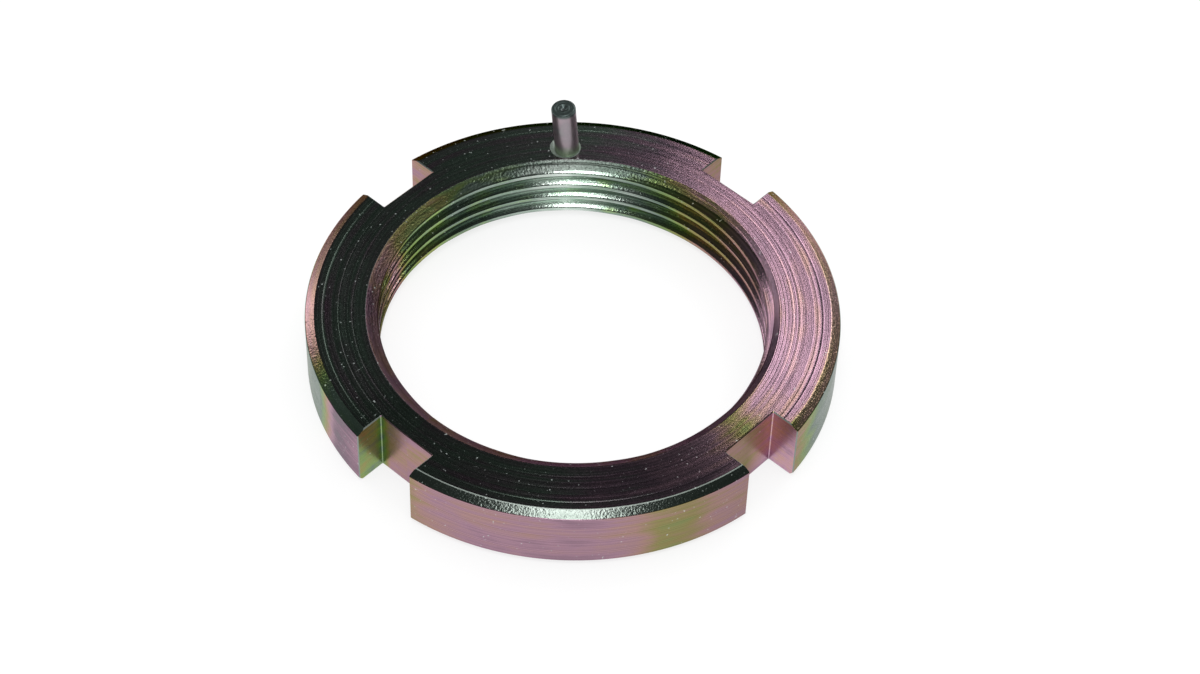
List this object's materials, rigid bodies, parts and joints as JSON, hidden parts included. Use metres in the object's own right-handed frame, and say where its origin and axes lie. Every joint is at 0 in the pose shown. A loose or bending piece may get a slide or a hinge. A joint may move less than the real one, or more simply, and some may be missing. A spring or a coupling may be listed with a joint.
{
  "type": "slotted round nut",
  "caption": "Round ring nut with spanner slots in its rim, a fine-threaded bore and a locking pin standing up from one face.",
  "frame": {"origin": "centre of the bearing face, the face away from the pin", "axes": "+Z along the thread, towards the face the pin stands in; the spanner slots are on the X and Y axes and the pin is between +X and +Y"},
  "size_m": [0.0662, 0.0662, 0.0163],
  "materials": {
    "plated_nut": "turned steel with a yellow-pink iridescent zinc chromate plating",
    "plated_pin": "ground steel dowel with the same plating, darker at its end"
  },
  "bodies": {
    "root": {"nut_body": "plated_nut", "lock_pin": "plated_pin"}
  },
  "joints": []
}
